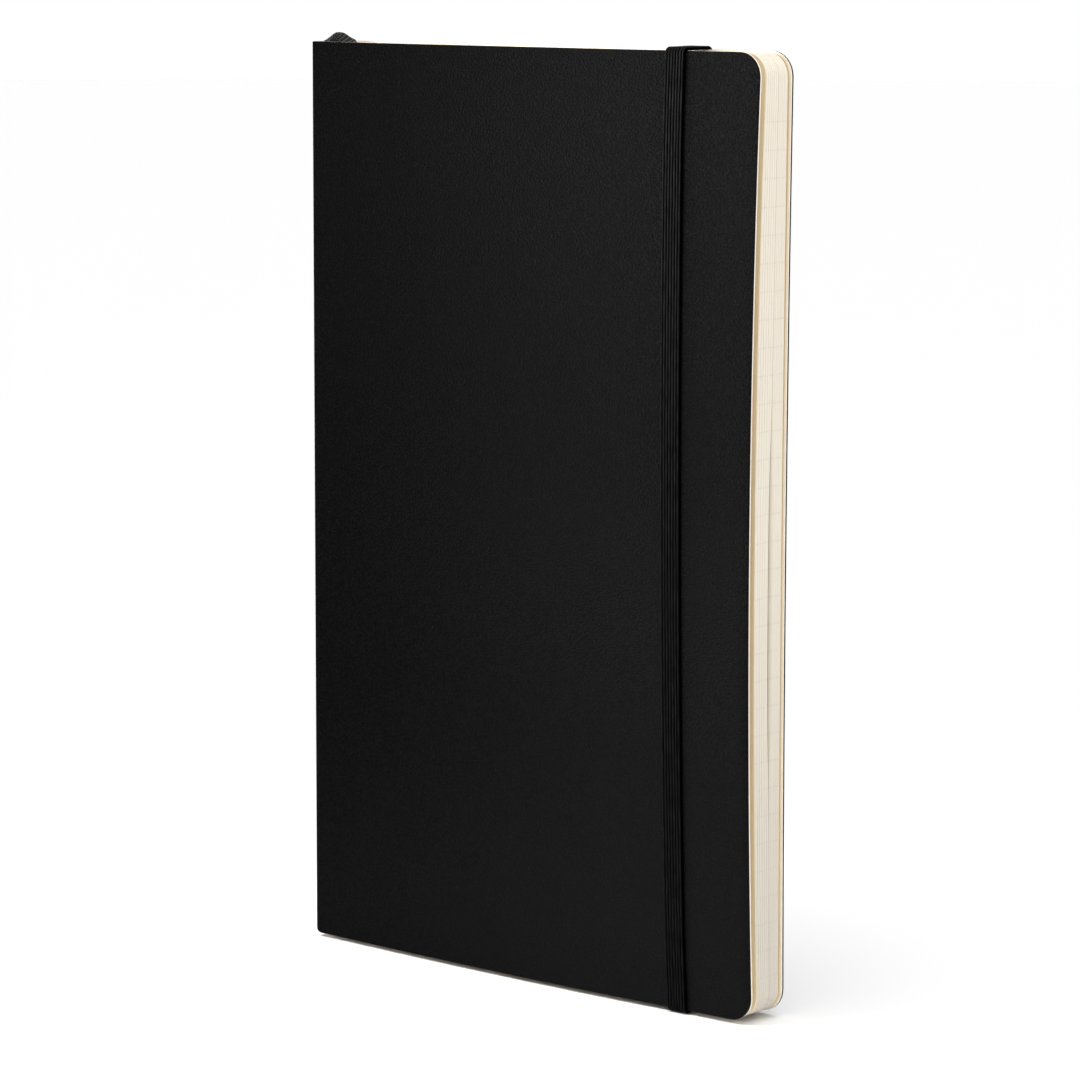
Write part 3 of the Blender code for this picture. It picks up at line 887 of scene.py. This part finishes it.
def box_grid(x_range, y_range, z_range, columns, rows):
    """Thin upright box with enough columns and rows to follow the bowed cover."""
    xs, zs = np.linspace(*x_range, columns + 1), np.linspace(*z_range, rows + 1)
    x, z = np.meshgrid(xs, zs)
    sides = [np.stack([x, np.full_like(x, y), z], axis=2).reshape(-1, 3) for y in y_range]
    return np.concatenate(sides), two_sided_faces(rows + 1, columns + 1)


def add_pocket(look):
    """Card panel and its two cloth gussets on the inside of the back cover."""
    mouth, hinge = X_SPINE + POCKET_MOUTH_INSET, X_FORE - POCKET_MARGIN
    stops = np.linspace(mouth, mouth + 4.0, 4)
    layers = [(POCKET_MARGIN, Y_POCKET + depth) for depth in POCKET_SHEET]
    flat, faces = slab(layers, stops, *SINGLE_SHEET_GRID)
    panel = new_object("pocket_sheet", bow(flat), flat, faces, look["backing"])
    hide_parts("pocket_panel")
    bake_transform(panel)
    low = Z_FOOT + POCKET_MARGIN + GUSSET_MARGIN
    high = Z_HEAD - POCKET_MARGIN - GUSSET_MARGIN
    y_range = [Y_POCKET + depth for depth in GUSSET_SHEET]
    for name, z_range in (("top", (high - GUSSET_HEIGHT, high)), ("bottom", (low, low + GUSSET_HEIGHT))):
        flat, faces = box_grid((mouth + 4.0, hinge - 3.0), y_range, z_range, 40, 8)
        gusset = new_object(f"gusset_{name}", bow(flat), flat[:, [0, 2, 1]], faces, look["gusset"])
        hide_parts(f"pocket_gusset_{name}")
        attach(gusset, "back_cover")


def dress_hidden_nodes(look):
    """Pieces inside the spine keep their CAD shapes and get their own looks."""
    for name, material in (
        ("spine_liner", look["card"]),
        ("spine_mull", look["mull"]),
        ("sewing_thread", look["thread"]),
    ):
        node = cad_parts[name]
        node.data.materials.clear()
        node.data.materials.append(material)


def make_looks():
    return {
        "leatherette": leatherette(),
        "backing": cover_backing(),
        "endpaper": endpaper(),
        "paper": page_paper(),
        "elastic": elastic_webbing(),
        # Ribbon and gusset: the second colour is the painted highlight of the raised threads.
        "ribbon": woven("woven_ribbon", (0.003, 0.003, 0.003), (0.09, 0.09, 0.093), 1.0, 0.9, 0.6, 0.0),
        "mull": mull_cloth(),
        "card": fibrous("spine_card", (0.52, 0.46, 0.36), (0.66, 0.60, 0.50), (3000, 3000, 700), 0.85),
        "thread": fibrous("thread_twist", (0.62, 0.58, 0.50), (0.82, 0.79, 0.71), (900, 900, 2600), 0.8),
        "gusset": woven("gusset_cloth", (0.008, 0.008, 0.009), (0.03, 0.03, 0.033), 0.5, 0.5, 0.85, 0.1),
    }


# ---------------------------------------------------------------- studio


def add_floor():
    steps = 64
    radius = 6.0
    mesh = bpy.data.meshes.new("floor")
    angles = [2 * math.pi * i / steps for i in range(steps)]
    ring = [(radius * math.cos(angle), radius * math.sin(angle), 0.0) for angle in angles]
    mesh.from_pydata(ring, [], [tuple(range(steps))])
    n = Nodes("floor_white")
    mesh.materials.append(n.finish((0.93, 0.93, 0.93), 0.9, specular=0.1))
    floor = bpy.data.objects.new("floor", mesh)
    bpy.context.scene.collection.objects.link(floor)


def add_sun(name, direction, spread, strength):
    data = bpy.data.lights.new(name, "SUN")
    data.energy = strength
    data.angle = math.radians(spread)
    light = bpy.data.objects.new(name, data)
    light.rotation_euler = (-Vector(direction)).to_track_quat("-Z", "Y").to_euler()
    bpy.context.scene.collection.objects.link(light)


def add_area_light(name, location, target, size, power, spread):
    data = bpy.data.lights.new(name, "AREA")
    data.spread = math.radians(spread)
    data.shape = "RECTANGLE"
    data.size, data.size_y = size
    data.energy = power
    light = bpy.data.objects.new(name, data)
    light.location = Vector(location)
    light.rotation_euler = (Vector(target) - Vector(location)).to_track_quat("-Z", "Y").to_euler()
    light.visible_camera = False
    bpy.context.scene.collection.objects.link(light)


def add_world():
    """White backdrop to the camera, and a softer surround to everything else."""
    world = bpy.data.worlds.new("studio")
    world.use_nodes = True
    tree = world.node_tree
    background = tree.nodes["Background"]
    path = tree.nodes.new("ShaderNodeLightPath")
    strength = tree.nodes.new("ShaderNodeMix")
    strength.data_type = "FLOAT"
    tree.links.new(path.outputs["Is Camera Ray"], strength.inputs[0])
    strength.inputs[2].default_value = SURROUND
    strength.inputs[3].default_value = BACKDROP
    tree.links.new(strength.outputs[0], background.inputs["Strength"])
    background.inputs["Color"].default_value = (1.0, 1.0, 1.0, 1.0)
    bpy.context.scene.world = world


def add_camera():
    level = math.cos(CAMERA_ELEVATION)
    right = Vector((math.cos(CAMERA_AZIMUTH), math.sin(CAMERA_AZIMUTH), 0.0))
    back = Vector((right.y * level, -right.x * level, math.sin(CAMERA_ELEVATION)))
    up = back.cross(right)
    centre = Vector((0.0, 0.0, Z_FOOT + HEIGHT / 2))
    target = centre + right * CAMERA_RIGHT + up * CAMERA_UP
    data = bpy.data.cameras.new("camera")
    data.sensor_width = CAMERA_SENSOR
    data.lens = CAMERA_LENS
    data.clip_start, data.clip_end = 0.01, 10.0
    camera = bpy.data.objects.new("camera", data)
    camera.location = (target + back * CAMERA_DISTANCE) * MM
    roll = Quaternion((0.0, 0.0, 1.0), CAMERA_ROLL)
    camera.rotation_euler = ((-back).to_track_quat("-Z", "Y") @ roll).to_euler()
    bpy.context.scene.collection.objects.link(camera)
    bpy.context.scene.camera = camera


def add_studio():
    add_floor()
    add_world()
    add_camera()
    add_sun("key", (0.75, -0.30, 0.60), 28.0, 0.25)
    add_sun("overhead", (0.10, 0.0, 1.0), 50.0, 1.7)
    add_area_light("sheen", (-0.16, -0.27, 0.24), (0.075, 0.0, 0.235), (0.20, 0.20), 0.38, 48.0)
    add_area_light("fore_edge_fill", (0.35, -0.10, 0.42), (0.065, 0.0, 0.20), (0.18, 0.18), 0.11, 90.0)
    add_area_light("floor_wash", (-0.22, -0.40, 0.55), (-0.04, -0.13, 0.0), (0.20, 0.20), 0.35, 40.0)
    bpy.context.scene.view_settings.view_transform = "Standard"


look = make_looks()
add_covers(look)
add_cover_layers(look)
add_signatures(look)
add_elastic(look)
add_ribbon(look)
add_pocket(look)
dress_hidden_nodes(look)
add_studio()
